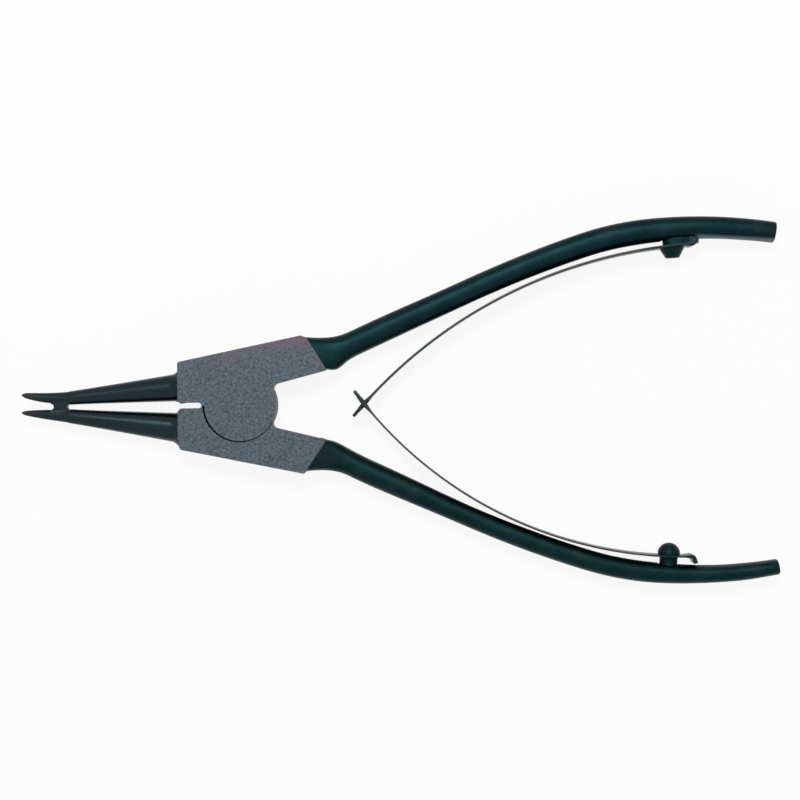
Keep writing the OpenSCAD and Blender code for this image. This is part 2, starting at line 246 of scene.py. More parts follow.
# %% [markdown]
# The plate then gets what makes it half of a lap joint. In the lower half of its thickness a round recess takes
# the other lever's disc, with a seam that shows as a dark line. The recess sits a little forward of the pivot, so
# the line is bold at the front and fades to the rear. In the upper half of the thickness its own disc stands out,
# and the pivot's bore ends in a countersink. All are turned shapes, rings of one profile about an axis.

# %% The machined head
SEAM_GAP = 0.28
SEAM_SHIFT = (-0.15, 0)
LAP_GAP = 0.1
PIVOT_R = 2.5
PIVOT_HEAD_R = 3.4
PIVOT_HEAD_H = 0.9
RUNNING_GAP = 0.03
EDGE_BREAK = 0.14
PAST = 1.0


def turned(name, profile, centre=(0, 0), axis=(0, 0, 1), count=96, stretch=0.0):
    """A solid from radii and distances along an axis, by default straight up; stretch makes it oblong."""
    axis = Vector(axis)
    side = Vector((1, 0, 0)) if axis.z else Vector((-axis.y, axis.x, 0))
    other = axis.cross(side)
    spokes = [(math.cos(a), math.sin(a)) for a in (math.tau * (k + 0.5) / count for k in range(count))]
    rings = []
    for radius, distance in profile:
        base = Vector((*centre, 0 if axis.z else MID_Z)) + axis * distance
        rings.append([
            (base + side * (radius * c + (stretch if c > 0 else 0)) + other * radius * s) * MM for c, s in spokes
        ])
    return extrude_rings(name, rings)


def machined_head(half):
    """One half of the head with its recess, its disc and the bore for the pivot."""
    outline = head_outline(half)
    head = extrude_rings(half + "_forging", [[point(*p, z) for p in outline] for z in (0, HEAD_T)])
    recess_r = DISC_R + SEAM_GAP
    recess = turned("recess", [(recess_r, -PAST), (recess_r, MID_Z + LAP_GAP / 2)], SEAM_SHIFT)
    boolean(head, recess, "DIFFERENCE")
    boolean(head, turned("disc", [(DISC_R, MID_Z + LAP_GAP / 2), (DISC_R, HEAD_T)]), "UNION")
    bore_r = PIVOT_R + RUNNING_GAP
    rim_r = PIVOT_HEAD_R + RUNNING_GAP
    rim = [(rim_r, HEAD_T), (rim_r, HEAD_T + PAST)]
    bore = turned("bore", [(bore_r, -PAST), (bore_r, HEAD_T - PIVOT_HEAD_H), *rim])
    break_edges(head, EDGE_BREAK)
    boolean(head, bore, "DIFFERENCE")
    return head


upper, lower = machined_head("upper"), machined_head("lower")
print("faces of the heads:", len(upper.data.polygons), len(lower.data.polygons))

# %% [markdown]
# A round piece that bends, such as a jaw, needs rings that stand square to its middle line. A bevelled curve could
# give them, but it has to be made a mesh before the head can take it. So this helper sets out a circle across a
# line, at any place, heading and radius.

# %% A circle across a line
def left_of(heading):
    """The direction to the left of a heading, in the plane."""
    return Vector((-math.sin(heading), math.cos(heading)))


def across_ring(centre, heading, radius, count=40):
    """A circle of points square to a line in the plane."""
    left = left_of(heading)
    spokes = [(math.cos(a), math.sin(a)) for a in (math.tau * k / count for k in range(count))]
    return [point(*(centre + left * radius * c), MID_Z + radius * s) for c, s in spokes]


print("points in a ring:", len(across_ring(Vector((0, 0)), 0, 1)))

# %% [markdown]
# A jaw is a round taper, a little hollow along its length, that leaves the head with a small fillet, bends at its
# end and runs out into a thin tip. A cone primitive would look like a nail, so the rings follow the forged taper:
# quick at the root, slow toward the bend. The two tips bend differently in the photo: the upper one curls up to its
# point and the lower one runs straight, so each lever gets its own sizes.

# %% A jaw with its tip
JAW_L = 25.9
JAWS = {
    "upper": {"root_y": 4.35, "root_r": 3.3, "bend_y": 2.1, "bend_r": 1.62, "tip_y": 2.85, "tip_r": 0.35},
    "lower": {"root_y": 5.28, "root_r": 3.57, "bend_y": 2.25, "bend_r": 1.7, "tip_y": 1.35, "tip_r": 0.35},
}
JAW_HOLLOW = 1.08
FLARE_L = 1.5
FLARE_H = 0.6
TIP_L = 11.6
TIP_SHAPES = {"upper": 0.48, "lower": 0.62}
TIP_SHOULDER = 0.1
TIP_CURL = 0.3
JAW_STEPS, JAW_CROWDING = 24, 1.4
JAW_BEND_FROM, TIP_BEND_TO = 0.93, 0.08


def jaw_rings(half):
    """Rings from inside the head, over the bend, to the rounded point."""
    jaw = JAWS[half]
    root = Vector((-HEAD_FRONT, jaw["root_y"]))
    bend = Vector((-HEAD_FRONT - JAW_L, jaw["bend_y"]))
    end = Vector((bend.x - TIP_L + jaw["tip_r"], jaw["tip_y"]))
    run, tip_run = bend - root, end - bend
    heading = math.atan2(-run.y, -run.x) + math.pi
    turn = math.atan2(-tip_run.y, -tip_run.x) + math.pi - heading
    rings = [across_ring(root - run.normalized() * PAST, heading, jaw["root_r"] + FLARE_H)]
    for k in range(JAW_STEPS + 1):
        share = (k / JAW_STEPS) ** JAW_CROWDING
        flare = FLARE_H * max(0, 1 - share * run.length / FLARE_L) ** 2
        radius = jaw["bend_r"] + (jaw["root_r"] - jaw["bend_r"]) * (1 - share) ** JAW_HOLLOW + flare
        bent = max(0, (share - JAW_BEND_FROM) / (1 - JAW_BEND_FROM)) / 2
        rings.append(across_ring(root + run * share, heading + turn * bent, radius))
    for share in (0.02, 0.08, 0.2, 0.35, 0.5, 0.65, 0.8, 0.9, 0.96, 1):
        bent = min(1, (1 + share / TIP_BEND_TO) / 2)
        base_r = jaw["bend_r"] - TIP_SHOULDER * min(1, share / TIP_BEND_TO)
        radius = jaw["tip_r"] + (base_r - jaw["tip_r"]) * (1 - share) ** TIP_SHAPES[half]
        curl = Vector((0, -TIP_CURL * math.sin(math.pi * share))) if half == "upper" else Vector((0, 0))
        rings.append(across_ring(bend + tip_run * share + curl, heading + turn * bent, radius))
    for a in (math.radians(d) for d in (30, 55, 75, 86)):
        reach = tip_run.normalized() * jaw["tip_r"] * math.sin(a)
        rings.append(across_ring(end + reach, heading + turn, jaw["tip_r"] * math.cos(a)))
    return rings


print("rings along a jaw:", len(jaw_rings("upper")))

# %% [markdown]
# Where the shut jaws meet, each has a small flat land just past the bend. It is a pad that runs out at both ends in
# a hollow round, as left by a file, so its rings grow along a quarter circle. It is joined to the tip.

# %% The land and the finished jaw
LAND_AT = 2.2
LAND_X = -HEAD_FRONT - JAW_L - LAND_AT
LAND_L = 3.3
LAND_W = 2.2
LAND_R = 0.7
LAND_GAP = 0.004


def land_ring(y, length):
    """A rectangle at one height of the pad."""
    corners = [(-1, -1), (1, -1), (1, 1), (-1, 1)]
    return [point(LAND_X + length / 2 * a, y, MID_Z + LAND_W / 2 * b) for a, b in corners]


def add_jaw(forging, half):
    """Joins a jaw, its tip and its land to a forging."""
    jaw = extrude_rings("jaw", jaw_rings(half))
    turns = [math.radians(d) for d in range(0, 91, 15)]
    rings = []
    for a in turns:
        rings.append(land_ring(LAND_GAP / 2 + LAND_R * math.sin(a), LAND_L + 2 * LAND_R * (1 - math.cos(a))))
    land = extrude_rings("land", rings + [land_ring(JAWS[half]["bend_y"], LAND_L + 2 * LAND_R)])
    boolean(jaw, land, "UNION")
    boolean(forging, jaw, "UNION")


print("middle of the land in mm:", round(LAND_X, 1), "length:", LAND_L)

# %% [markdown]
# The handle leaves the head's slanted rear, runs straight, sweeps inward, turns at an elbow and ends in a short grip.
# A curve drawn by eye could follow it, but a smith sets such a bar out in lengths and turns. So its middle line is a
# chain of arcs, each a length in millimetres and the turn in degrees that it makes.

# %% The bar's middle line
REAR_INNER = (20.3, 8.6)
BAR_RUNS = [(37, 0), (32, 7), (18.3, 14), (27.6, 12.5)]
BAR_L = sum(length for length, turn in BAR_RUNS)
HANDLE_HEADING = math.radians(24.5)
NECK_DROP = 2.1
rear_mid = (Vector(REAR_OUTER) + Vector(REAR_INNER)) / 2


def bar_at(s):
    """Place and heading of the bar's middle line at a distance from the head's rear face."""
    place, heading = rear_mid - NECK_DROP * left_of(HANDLE_HEADING), HANDLE_HEADING
    for length, turn in BAR_RUNS:
        step = min(s, length)
        half = math.radians(turn) * step / length / 2
        chord = step * (math.sin(half) / half if half else 1)
        place = place + chord * Vector((math.cos(heading - half), math.sin(heading - half)))
        heading -= 2 * half
        s -= step
        if s <= 0:
            break
    return place, heading


print("length of the bar in mm:", round(BAR_L, 1), "end:", [round(c, 1) for c in bar_at(BAR_L)[0]])

# %% [markdown]
# The bar starts as a squarish neck as wide as the head's rear, swells a little behind it and draws in to a rounded
# section. Each bar strays a few tenths of a millimetre from the middle line, which the sways give. A bevelled curve
# would have one section only, so each ring is a superellipse: between an ellipse and a rectangle, as a bar comes out
# of a forging die.

# %% The bar's sections
BAR_STATIONS = (0, 14, 40, 80, 105, 115)
BAR_WIDTHS = {"upper": (6.0, 5.95, 5.6, 5.85, 5.2, 5.0), "lower": (5.9, 5.75, 4.9, 4.95, 4.1, 3.7)}
BAR_DEPTHS = (6.8, 6.7, 6.5, 6.25, 6.1, 6.0)
BAR_SWAYS = {"upper": (0, -0.05, -0.33, -0.12, 0.29, 0.38), "lower": (-0.2, 0.28, 0.29, 0.31, 0.5, 0.42)}
BAR_SQUARE = 2.4
NECK_L = 9
NECK_W = 9.3
NECK_T = 8.4
BULGE_AT = 2.6
BULGE_L = 3.2
BULGES = {"upper": 1.2, "lower": 0.25}
rear_run = Vector(REAR_OUTER) - Vector(REAR_INNER)
neck_skew = math.atan2(rear_run.y, rear_run.x) - HANDLE_HEADING - math.pi / 2


def bar_size(s, sizes):
    """Width, depth or sway of the bar at a distance, eased between its stations."""
    for i in range(len(sizes) - 1):
        if s <= BAR_STATIONS[i + 1] or i == len(sizes) - 2:
            t = max(0, min(1, (s - BAR_STATIONS[i]) / (BAR_STATIONS[i + 1] - BAR_STATIONS[i])))
            return sizes[i] + (sizes[i + 1] - sizes[i]) * t * t * (3 - 2 * t)


def bar_ring(half, s, trim=0.0, count=48):
    """A superellipse of points round the bar, smaller by trim on every side."""
    place, heading = bar_at(s)
    share = max(0, min(1, 1 - s / NECK_L)) ** 2
    bulge = BULGES[half] * math.exp(-((s - BULGE_AT) / BULGE_L) ** 2)
    sway = bar_size(s, BAR_SWAYS[half])
    middle = place + (NECK_DROP * share + sway - bulge / 2) * left_of(heading)
    across = left_of(heading + neck_skew * share)
    widths = BAR_WIDTHS[half]
    half_w = (bar_size(s, widths) + (NECK_W - widths[0]) * share + bulge) / 2 - trim
    half_t = (bar_size(s, BAR_DEPTHS) + (NECK_T - BAR_DEPTHS[0]) * share) / 2 - trim
    power = 2 / (BAR_SQUARE * (1 + share))
    ring = []
    for a in (math.tau * k / count for k in range(count)):
        c, d = math.cos(a), math.sin(a)
        over = math.copysign(abs(c) ** power, c)
        up = math.copysign(abs(d) ** power, d)
        ring.append(point(*(middle + across * half_w * over), MID_Z + half_t * up))
    return ring


print("width of the bars at the end in mm:", [bar_size(BAR_L, widths) for widths in BAR_WIDTHS.values()])

# %% [markdown]
# The rings stand close together in the neck, where the section changes fast, and wider along the bar. At the end
# they shrink a little in a quarter circle, because the bar is cut off square and its edge is then rounded. A
# shallow flat is milled on the inner side for the spring's collar.

# %% The handle
FIX_AT = {"upper": BAR_L - 24.8, "lower": BAR_L - 26.3}
LEAF_TILT = math.radians(1.2)
FLAT_DEPTH = 0.3
FLAT_R = 2.7
END_ROUND = 0.4
NECK_STEPS, BAR_STEPS = 12, 60


def fixing(half):
    """Where the axis of a strip's rivet meets the bar's middle line, and its direction inward."""
    place, heading = bar_at(FIX_AT[half])
    heading += LEAF_TILT
    return place, Vector((math.sin(heading), -math.cos(heading), 0))


def flat_at(half):
    """Distance along that axis to the flat."""
    s = FIX_AT[half]
    return bar_size(s, BAR_WIDTHS[half]) / 2 - bar_size(s, BAR_SWAYS[half]) - FLAT_DEPTH


def add_handle(forging, half):
    """Joins the bar, with the flat for the spring's collar, to a forging."""
    stations = [(NECK_L * k / NECK_STEPS, 0) for k in range(-2, NECK_STEPS)]
    stations += [(NECK_L + (BAR_L - END_ROUND - NECK_L) * k / BAR_STEPS, 0) for k in range(BAR_STEPS + 1)]
    for a in (math.radians(d) for d in (20, 40, 60, 78)):
        stations.append((BAR_L - END_ROUND * (1 - math.sin(a)), END_ROUND * (1 - math.cos(a))))
    handle = extrude_rings("handle", [bar_ring(half, s, trim) for s, trim in stations])
    cut = [(FLAT_R, flat_at(half)), (FLAT_R, flat_at(half) + PAST)]
    flat = turned("flat", cut, *fixing(half))
    boolean(handle, flat, "DIFFERENCE")
    boolean(forging, handle, "UNION")


print("rivets before the bar's end in mm:", [round(BAR_L - at, 1) for at in FIX_AT.values()])

# %% [markdown]
# Both forgings get their jaw and handle while they still lie the same way up. The lower one is then turned over
# about the X axis through the middle of the head's thickness. A mirror would turn its faces inside out, and the
# real one is turned over too. Smooth shading by angle keeps the real edges.

# %% Two forgings
SMOOTH_ANGLE = math.radians(32)


def turn_over(obj):
    """Turns a mesh of the upper half about X into its place in the lower half."""
    select_only(obj)
    bpy.ops.object.mode_set(mode="EDIT")
    bpy.ops.mesh.select_all(action="SELECT")
    bpy.ops.transform.rotate(value=math.pi, orient_axis="X", center_override=(0, 0, MID_Z * MM))
    bpy.ops.object.mode_set(mode="OBJECT")


for forging, half in ((upper, "upper"), (lower, "lower")):
    add_jaw(forging, half)
    add_handle(forging, half)
turn_over(lower)
for forging in (upper, lower):
    select_only(forging)
    bpy.ops.object.shade_smooth_by_angle(angle=SMOOTH_ANGLE)
    print(forging.name, "faces:", len(forging.data.polygons))

# %% [markdown]
# The return spring is two strips of tempered steel, riveted to the handles and hooked into one another behind the
# head. Each is bent to one long arc. Its circle could be fitted by eye, but it follows from three things that are
# known: where the rivet holds the strip, where the strips cross and the radius of the bend.

# %% The strip's line
LEAF_TS = {"upper": 0.58, "lower": 0.42}
LEAF_RS = {"upper": 114, "lower": 97}
CROSSING = Vector((29.2, 0))
SPACER_HS = {"upper": 1.35, "lower": 1.95}


def leaf_circle(half):
    """Centre of the strip's circle and its angles at the rivet and at the crossing."""
    radius = LEAF_RS[half]
    place, inward = fixing(half)
    start = place + (flat_at(half) + SPACER_HS[half] + LEAF_TS[half] / 2) * inward.xy
    chord = CROSSING - start
    toward = Vector((-chord.y, chord.x)).normalized()
    centre = start + chord / 2 + toward * math.sqrt(radius ** 2 - chord.length_squared / 4)
    angles = [math.atan2(p.y - centre.y, p.x - centre.x) for p in (start, CROSSING)]
    return centre, *angles


def arc(half, start, stop, steps):
    """Points of the strip's line between two angles of its circle."""
    centre, radius = leaf_circle(half)[0], LEAF_RS[half]
    angles = [start + (stop - start) * k / steps for k in range(steps + 1)]
    return [centre + radius * Vector((math.cos(a), math.sin(a))) for a in angles]


for half in LEAF_RS:
    at_rivet, at_crossing = leaf_circle(half)[1:]
    print(half, "strip from rivet to crossing in mm:", round(LEAF_RS[half] * (at_crossing - at_rivet), 1))

# %% [markdown]
# The upper strip ends in a tongue with a wider head, which passes through a slot in the lower one and can't slip out.
# A plane with Solidify would do, but the cut ends show here, so each strip is a thin box that is extruded along its
# bent line and then cut. The free end is left thicker for the hook, and a short, stout tail past the rivet is bent
# over to the handle.

# %% The strips
END_T = 0.7
KNOT_T = 0.45
SWELL_L = 1.3
LEAF_W = 7.0
TAIL_LS = {"upper": 4.9, "lower": 5.6}
LIP_LS = {"upper": 1.3, "lower": 1.7}
LIP_T = 0.9
LIP_ANGLE = math.radians(72)
TAIL_ROUND = 0.6
LEAF_REACH = 3.9
LEAF_STEPS = 90


def ribbon(name, path, thicks, width):
    """A flat strip along a path in the plane, with a thickness for each of its points."""
    rings = []
    for i, (here, thick) in enumerate(zip(path, thicks)):
        before = (here - path[i - 1]).normalized() if i else None
        after = (path[i + 1] - here).normalized() if i + 1 < len(path) else before
        before = before or after
        way = (before + after).normalized()
        side = Vector((-way.y, way.x)) * thick / 2 / way.dot(after)
        corners = [(here + side, -1), (here - side, -1), (here - side, 1), (here + side, 1)]
        rings.append([point(*q, MID_Z + width / 2 * up) for q, up in corners])
    return extrude_rings(name, rings)


def strip(half):
    """The whole strip of one half, from its bent tail to its free end."""
    at_rivet, at_crossing = leaf_circle(half)[1:]
    radius, thick = LEAF_RS[half], LEAF_TS[half]
    tail_turn = TAIL_LS[half] / radius
    line = arc(half, at_rivet - tail_turn, at_crossing + LEAF_REACH / radius, LEAF_STEPS)
    lip_heading = at_rivet - tail_turn - math.pi / 2 + LIP_ANGLE
    lip_end = line[0] + LIP_LS[half] * Vector((math.cos(lip_heading), math.sin(lip_heading)))
    tail = rounded([(*lip_end, 0), (*line[0], TAIL_ROUND), (*line[2], 0)], 5)
    thicks = [LIP_T] * (len(tail) - 1) + [thick]
    for here in line[3:]:
        before = (here.x - CROSSING.x) / SWELL_L
        swell = max(0, min(1, 1 - before))
        thicks.append(thick + (END_T - thick) * swell + KNOT_T * math.exp(-before ** 2))
    return ribbon(half + "_spring_strip", tail + line[3:], thicks, LEAF_W)


upper_strip, lower_strip = strip("upper"), strip("lower")
print("sections along a strip:", len(upper_strip.data.vertices) // 4)

# %% [markdown]
# The tongue is what is left when both edges of the strip are cut away: first to a narrow neck where the strips
# cross, then to the wider head. The slot in the other strip is a little wider than the neck. After cutting, a fine
# bevel breaks the sheared edges.

# %% Tongue and slot
TONGUE_W = 3.0
TONGUE_HEAD_W = 5.6
SLOT_L = 1.8
TONGUE_GAP = 0.3
CUT_T = 3 * END_T
SHEARED_BREAK, SHEARED_ANGLE = 0.08, 50


def trim_sides(obj, start, stop, width):
    """Cuts both edges of the upper strip, between two distances past the crossing, down to a width."""
    crossing, radius = leaf_circle("upper")[2], LEAF_RS["upper"]
    for side in (-1, 1):
        line = arc("upper", crossing + start / radius, crossing + stop / radius, 4)
        cutter = ribbon("cutter", line, [CUT_T] * len(line), LEAF_W)
        select_only(cutter)
        bpy.ops.transform.translate(value=(0, 0, side * (width + LEAF_W) / 2 * MM))
        bpy.ops.object.transform_apply()
        boolean(obj, cutter, "DIFFERENCE")


neck_reach = (END_T + KNOT_T) / 2 + 2 * TONGUE_GAP
trim_sides(upper_strip, -neck_reach, neck_reach, TONGUE_W)
trim_sides(upper_strip, neck_reach, LEAF_REACH + PAST, TONGUE_HEAD_W)
half_slot = SLOT_L / 2 / LEAF_RS["lower"]
crossing = leaf_circle("lower")[2]
slot_line = arc("lower", crossing - half_slot, crossing + half_slot, 4)
slot = ribbon("slot", slot_line, [CUT_T] * len(slot_line), TONGUE_W + 2 * TONGUE_GAP)
boolean(lower_strip, slot, "DIFFERENCE")
turn_over(lower_strip)
for piece in (upper_strip, lower_strip):
    break_edges(piece, SHEARED_BREAK, SHEARED_ANGLE)
    select_only(piece)
    bpy.ops.object.shade_smooth_by_angle(angle=SMOOTH_ANGLE)
    print(piece.name, "faces:", len(piece.data.polygons))

# %% [markdown]
# Each strip is held off its handle by a collar. A cylinder with a bevel would look much the same, but a collar is a
# turned part, so its profile is listed as radii along the rivet's axis, with a small chamfer at every corner. The
# upper one is drawn out to an oblong that backs the strip's tail, as in the photo, where no light shows between them.

# %% Collars
SPACER_R = 2.15
COLLAR_SINK = 0.6
COLLAR_STRETCH = 4.4
CHAMFER = 0.15
SIDES = 48


def collar(half):
    """Profile of the collar between handle and strip."""
    low, high = flat_at(half) - COLLAR_SINK, flat_at(half) + SPACER_HS[half]
    inset = SPACER_R - CHAMFER
    return [(inset, low), (SPACER_R, low + CHAMFER), (SPACER_R, high - CHAMFER), (inset, high)]


upper_collar = turned("upper_collar", collar("upper"), *fixing("upper"), SIDES, COLLAR_STRETCH)
lower_collar = turned("lower_collar", collar("lower"), *fixing("lower"), SIDES)
turn_over(lower_collar)
print("height of the collars in mm:", list(SPACER_HS.values()))

# %% [markdown]
# A rivet goes through each strip and collar into the handle. The upper one has a pan-shaped head that narrows to a
# flat top, the lower one a dome on a short rim. A sphere could give the dome, but one profile for shank and head
# makes a rivet of one piece, as it is in steel.

# %% Rivets
SHANK_R = 1.2
SHANK_DEPTH = 3
RIVET_SMOOTH = math.radians(40)
PAN_R, PAN_TOP_R, PAN_H = 2.95, 1.55, 2.5
DOME_R, DOME_H, DOME_RIM_H = 2.65, 2.9, 0.8


def shank(half):
    """Profile of the shank, and the height of the strip's far side, on which the head sits."""
    seat = flat_at(half) + SPACER_HS[half] + LEAF_TS[half]
    return [(SHANK_R, flat_at(half) - SHANK_DEPTH), (SHANK_R, seat)], seat


def pan_rivet(half):
    """Profile of the rivet whose head narrows to a flat top."""
    profile, seat = shank(half)
    top = seat + PAN_H
    return profile + [
        (PAN_R - CHAMFER, seat),
        (PAN_R, seat + CHAMFER),
        (PAN_R - CHAMFER / 2, seat + 2 * CHAMFER),
        (PAN_TOP_R + CHAMFER, top - CHAMFER),
        (PAN_TOP_R, top - CHAMFER / 4),
        (PAN_TOP_R - CHAMFER, top),
    ]


def dome_rivet(half):
    """Profile of the rivet with a domed head on a short straight rim."""
    profile, seat = shank(half)
    crown_h = DOME_H - DOME_RIM_H
    crown_r = (DOME_R ** 2 + crown_h ** 2) / (2 * crown_h)
    profile += [(DOME_R - CHAMFER, seat), (DOME_R, seat + CHAMFER)]
    for share in (1, 0.9, 0.78, 0.64, 0.5, 0.36, 0.22, 0.1, 0.03):
        a = math.asin(DOME_R / crown_r) * share
        profile.append((crown_r * math.sin(a), seat + DOME_H - crown_r * (1 - math.cos(a))))
    return profile


upper_rivet = turned("upper_rivet", pan_rivet("upper"), *fixing("upper"), SIDES)
lower_rivet = turned("lower_rivet", dome_rivet("lower"), *fixing("lower"), SIDES)
turn_over(lower_rivet)
for piece in (upper_collar, lower_collar, upper_rivet, lower_rivet):
    select_only(piece)
    bpy.ops.object.shade_smooth_by_angle(angle=RIVET_SMOOTH)
print("height of the pan head in mm:", PAN_H, "of the dome:", DOME_H)

# %% [markdown]
# Finishes come next. Colours are written as the hex values one would pick from a picture, and turned to linear
# light by one function, because shader sockets hold linear values. A second small function adds a node with its
# settings and links, which in the shader editor would be a few clicks and drags for each.

# %% Colour and node helpers
def linear(code):
    """The linear colour of an sRGB hex code."""
    parts = [int(code[i:i + 2], 16) / 255 for i in (1, 3, 5)]
    return [*(p / 12.92 if p <= 0.04045 else ((p + 0.055) / 1.055) ** 2.4 for p in parts), 1]


def add(tree, kind, settings=None, links=None):
    """Adds a node: settings go to its sockets or properties, links come from other nodes' outputs."""
    node = tree.nodes.new("ShaderNode" + kind)
    for key, value in (settings or {}).items():
        if isinstance(key, str) and hasattr(node, key):
            setattr(node, key, value)
        else:
            node.inputs[key].default_value = value
    for key, output in (links or {}).items():
        tree.links.new(output, node.inputs[key])
    return node


print("a mid grey in linear light:", round(linear("#808080")[0], 3))

# %% [markdown]
# A finish is built like paint: one colour is laid over another where some value, such as a noise or a place, lies
# between two limits. Photographs of real steel could be wrapped round the pieces, but noise needs no file and no
# unwrapping. Patterns use Object coordinates, which are metres here, so a noise scale is one over the grain's size.

# %% Layers of colour and the shader
def new_material(name):
    """A material with an empty tree."""
    material = bpy.data.materials.new(name)
    material.use_nodes = True
    material.node_tree.nodes.clear()
    return material, material.node_tree


def lay_over(tree, base, code, *conditions):
    """Lays a colour over a base where all conditions hold: a value, its two limits and the shares at these."""
    share = None
    for value, low, high, *shares in conditions:
        at_low, at_high = shares or (0, 1)
        settings = {"From Min": low, "From Max": high, "To Min": at_low, "To Max": at_high}
        part = add(tree, "MapRange", settings, {"Value": value}).outputs[0]
        if share is not None:
            part = add(tree, "Math", {"operation": "MULTIPLY"}, {0: share, 1: part}).outputs[0]
        share = part
    settings, links = {"data_type": "RGBA", 7: linear(code)}, {0: share}
    if isinstance(base, str):
        settings[6] = linear(base)
    else:
        links[6] = base
    return add(tree, "Mix", settings, links).outputs[2]


def surface(tree, colour, roughness, height, depth, metallic):
    """The shader and output: bump depth is in millimetres."""
    bump = add(tree, "Bump", {"Strength": 1.0, "Distance": depth * MM}, {"Height": height})
    links = {"Base Color": colour, "Roughness": roughness, "Normal": bump.outputs[0]}
    shader = add(tree, "BsdfPrincipled", {"Metallic": metallic}, links)
    add(tree, "OutputMaterial", None, {"Surface": shader.outputs[0]})


print("materials before the first finish:", len(bpy.data.materials))

# %% [markdown]
# The forgings are heat treated and blackened: an oxide layer with a cool, greenish cast that is satin to the eye.
# Close up it has a fine grain from the forging scale, slow clouds where the oil took unevenly and a few brown stains.
# The jaws are rubbed smoother than the handles, and at the points of the tips the layer is worn to a warm brown.
# One noise carries the grain in bump and roughness, others the clouds and stains; the wear follows the length.

# %% Blackened forged steel
# The real grain is about 0.1 mm, too fine to show at this size, so it is drawn at 0.5 mm.
GRAIN, CLOUD, STAIN = 0.5, 7, 14
RUBBED = (-14.5 * MM, -15.5 * MM)
WORN = (-46.5 * MM, -53 * MM)
black_steel, tree = new_material("blackened forged steel, oiled")
coordinates = add(tree, "TexCoord").outputs["Object"]
patterns = []
for size, detail, rough in ((GRAIN, 6, 0.65), (CLOUD, 3, 0.55), (STAIN, 4, 0.6)):
    settings = {"Scale": 1 / (size * MM), "Detail": detail, "Roughness": rough}
    patterns.append(add(tree, "TexNoise", settings, {"Vector": coordinates}).outputs[0])
grain, clouds, stains = patterns
along, across = add(tree, "SeparateXYZ", None, {0: coordinates}).outputs[:2]
colour = lay_over(tree, "#081e22", "#0d272a", (clouds, 0.35, 0.65))  # black oxide, greenish
colour = lay_over(tree, colour, "#173236", (grain, 0.45, 0.75, 0, 0.5))  # paler flecks of scale
colour = lay_over(tree, colour, "#2c2420", (stains, 0.58, 0.72, 0, 0.5))  # brown stains
colour = lay_over(tree, colour, "#232e33", (along, *RUBBED, 0, 0.9))  # jaws, rubbed smoother
colour = lay_over(tree, colour, "#453b33", (along, *WORN, 0, 0.75))  # tips, worn to a warm brown
print("material:", black_steel.name)

# %% [markdown]
# On the inner side of the upper grip, near the end, a narrow band along the edge is painted light grey: a painted
# highlight where that edge catches the light. Its place is worked out from the Object coordinates, as the distance
# from the line of that edge. Each condition gives a share between zero and one, and their product is how strong the
# painted highlight is. The roughness comes last, because it has to be satin on the handles and smoother on the jaws.

# %% Painted highlight on the upper grip
HIGHLIGHT_SLOPE = 0.0617
HIGHLIGHT_EDGE = (45.7 * MM, 46.3 * MM)
HIGHLIGHT_START = (106.5 * MM, 109.5 * MM)
UPPER_SIDE = (0, 10 * MM)
lean = add(tree, "Math", {"operation": "MULTIPLY_ADD", 1: HIGHLIGHT_SLOPE}, {0: along, 2: across}).outputs[0]
# painted highlight: a light grey band along the inner edge of the upper grip, near its end
colour = lay_over(
    tree, colour, "#5c6a6e",
    (lean, *HIGHLIGHT_EDGE, 1, 0), (along, *HIGHLIGHT_START), (across, *UPPER_SIDE), (grain, 0.3, 0.6, 0.5, 1),
)
satin = {"From Min": 0.3, "From Max": 0.7, "To Min": 0.40, "To Max": 0.52}
smoother = {"From Min": RUBBED[0], "From Max": RUBBED[1], "To Max": -0.19}
sheen = add(tree, "Math", {"operation": "ADD"}, {
    0: add(tree, "MapRange", satin, {"Value": grain}).outputs[0],
    1: add(tree, "MapRange", smoother, {"Value": along}).outputs[0],
}).outputs[0]
surface(tree, colour, sheen, grain, 0.02, 0.95)
print("nodes in the black steel:", len(tree.nodes))

# %% [markdown]
# The two side faces of the head are ground bare after blackening. They are dull and blue-grey, with a fine mottling
# from the wheel and a few darker specks. Along the upper edge and at the upper rear the heat of grinding left purple
# and brown temper tints. Painted on by hand they would need a finer mesh, so a dot product gives the distance from
# each of those lines, and clouds break the tints up.

# %% Ground steel
# The wheel's mottling and scratches are hundredths of a millimetre, so both are drawn coarser, to show at all.
MOTTLE, TINT_CLOUD, SPECK, SCRATCH_W = 0.6, 3.5, 1.7, 0.25
SCRATCH_STRETCH = (0.06, 1, 1)
REAR_WAY = (0.856, 0.518, 0)
EDGE_TINT, EDGE_FADE = (9.2 * MM, 13.2 * MM), (-12 * MM, 8 * MM)
REAR_TINT, REAR_FADE = (19.2 * MM, 21.7 * MM), (4 * MM, 9 * MM)
ground_steel, tree = new_material("ground steel, heat tinted")
coordinates = add(tree, "TexCoord").outputs["Object"]
stretch = {"operation": "MULTIPLY", 1: SCRATCH_STRETCH}
stretched = add(tree, "VectorMath", stretch, {0: coordinates}).outputs[0]
patterns = []
for size, detail, rough, vector in (
    (MOTTLE, 5, 0.7, coordinates),
    (TINT_CLOUD, 4, 0.55, coordinates),
    (SPECK, 3, 0.55, coordinates),
    (SCRATCH_W, 3, 0.6, stretched),
):
    settings = {"Scale": 1 / (size * MM), "Detail": detail, "Roughness": rough}
    patterns.append(add(tree, "TexNoise", settings, {"Vector": vector}).outputs[0])
grain, clouds, specks, scratches = patterns
edge, rear = [
    add(tree, "VectorMath", {"operation": "DOT_PRODUCT", 1: way}, {0: coordinates}).outputs["Value"]
    for way in ((-EDGE_SLOPE, 1, 0), REAR_WAY)
]
along = add(tree, "SeparateXYZ", None, {0: coordinates}).outputs[0]
colour = lay_over(tree, "#28323a", "#566369", (grain, 0.36, 0.64))  # blue-grey mottling
colour = lay_over(tree, colour, "#2b353a", (specks, 0.6, 0.72, 0, 0.5))  # darker specks
